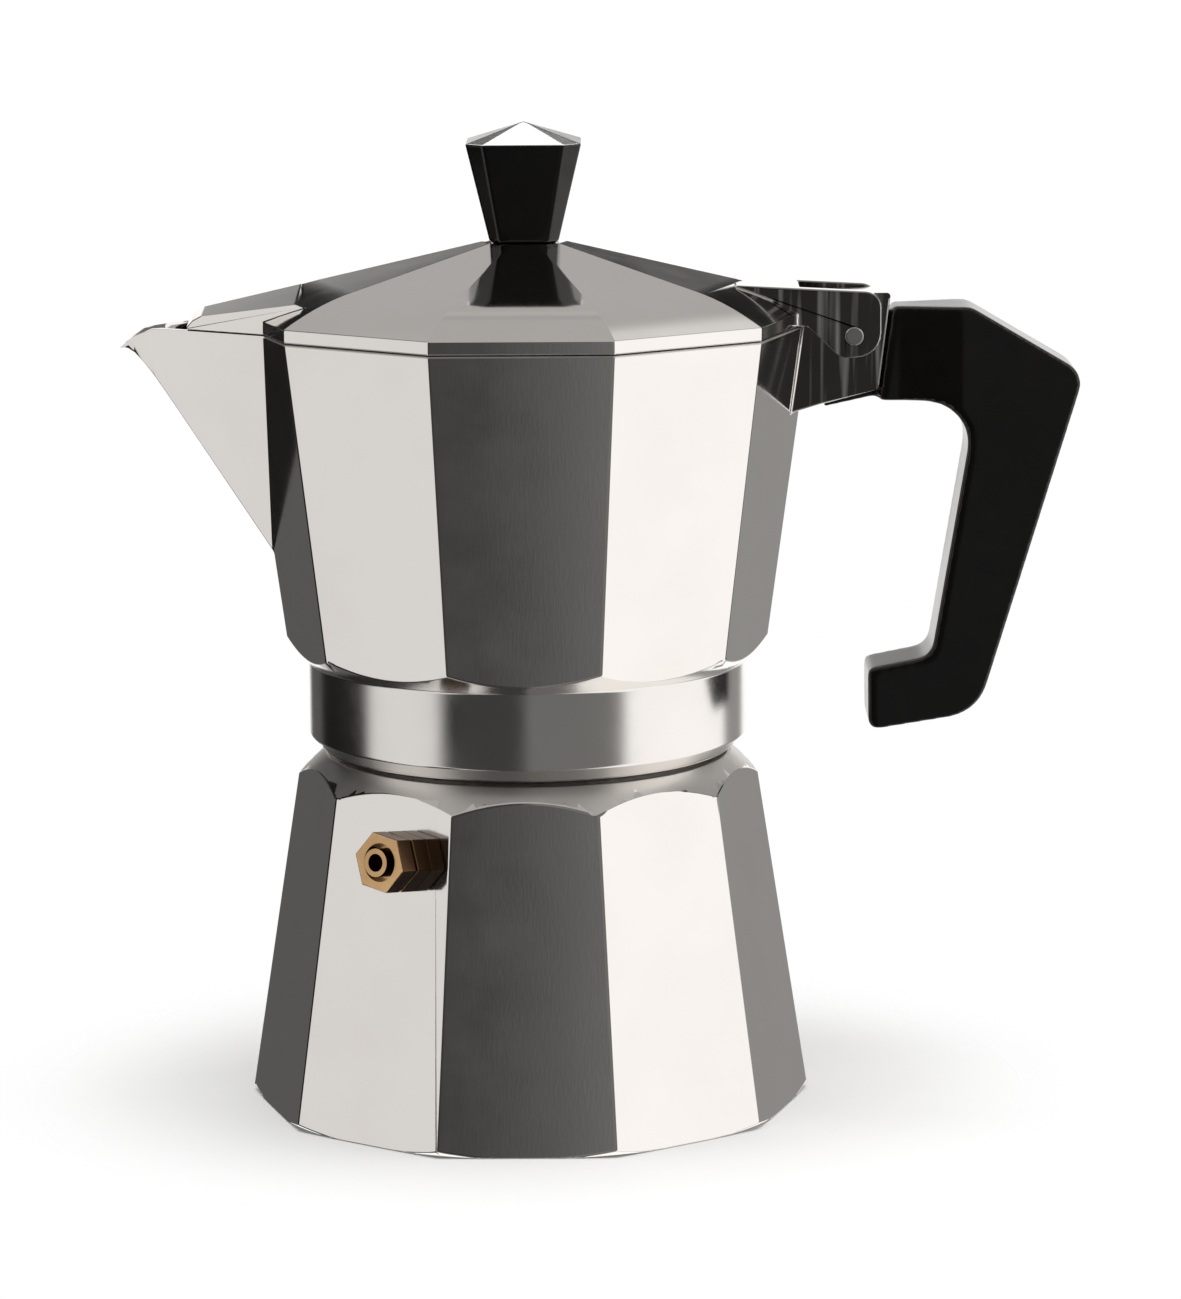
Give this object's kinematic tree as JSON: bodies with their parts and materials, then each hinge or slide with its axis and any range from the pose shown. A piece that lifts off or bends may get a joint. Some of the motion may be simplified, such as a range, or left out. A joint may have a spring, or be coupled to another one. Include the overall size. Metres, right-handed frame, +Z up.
{
  "type": "moka pot",
  "caption": "Faceted stovetop moka pot with a screw-on collector, hinged lid, side spout and black bracket handle.",
  "frame": {"origin": "centre of the boiler's flat underside, on the pot's axis", "axes": "+Z up along the pot's axis, +X towards the handle and hinge, -X towards the spout; the safety valve looks out between -X and -Y"},
  "size_m": [0.1518, 0.0866, 0.1573],
  "materials": {
    "polished_aluminium": "polished cast aluminium",
    "pressed_aluminium": "satin pressed sheet",
    "black_bakelite": "gloss moulded phenolic",
    "brass": "turned",
    "steel": "bright drawn steel",
    "gasket_rubber": "matt white rubber",
    "seal_rubber": "matt black rubber"
  },
  "bodies": {
    "boiler": {"boiler": "polished_aluminium", "valve_body": "brass", "valve_retainer": "brass", "valve_spring": "steel"},
    "valve_plunger": {"valve_plunger": "brass", "valve_seal": "seal_rubber"},
    "funnel": {"funnel": "pressed_aluminium", "funnel_strainer": "pressed_aluminium"},
    "seal": {"gasket": "gasket_rubber", "filter_plate": "pressed_aluminium"},
    "collector": {"collector": "polished_aluminium", "handle": "black_bakelite", "hinge_pin": "steel"},
    "lid": {"lid": "polished_aluminium", "knob": "black_bakelite", "knob_insert": "brass", "knob_screw": "steel", "knob_washer": "steel"}
  },
  "joints": [
    {"name": "valve_lift", "type": "slide", "parent": "boiler", "child": "valve_plunger", "axis": [-0.5815, -0.8004, 0.1458], "range_m": [0, 0.0015], "stiffness_N_per_m": 1800, "springref_m": -0.002, "deforming": ["valve_spring"]},
    {"name": "funnel_lift", "type": "slide", "parent": "boiler", "child": "funnel", "axis": [0, 0, 1], "range_m": [0, 0.075]},
    {"name": "collector_lift", "type": "slide", "parent": "boiler", "child": "seal", "axis": [0, 0, 1], "range_m": [0, 0.15]},
    {"name": "collector_turn", "type": "hinge", "parent": "seal", "child": "collector", "pos_m": [0, 0, 0.07], "axis": [0, 0, 1], "range_deg": [0, 540]},
    {"name": "lid_hinge", "type": "hinge", "parent": "collector", "child": "lid", "pos_m": [0.052, 0, 0.1238], "axis": [0, 1, 0], "range_deg": [0, 105]}
  ],
  "couplings": [
    {"joint": "funnel_lift", "follows": "collector_lift", "ratio": 0.5}
  ]
}
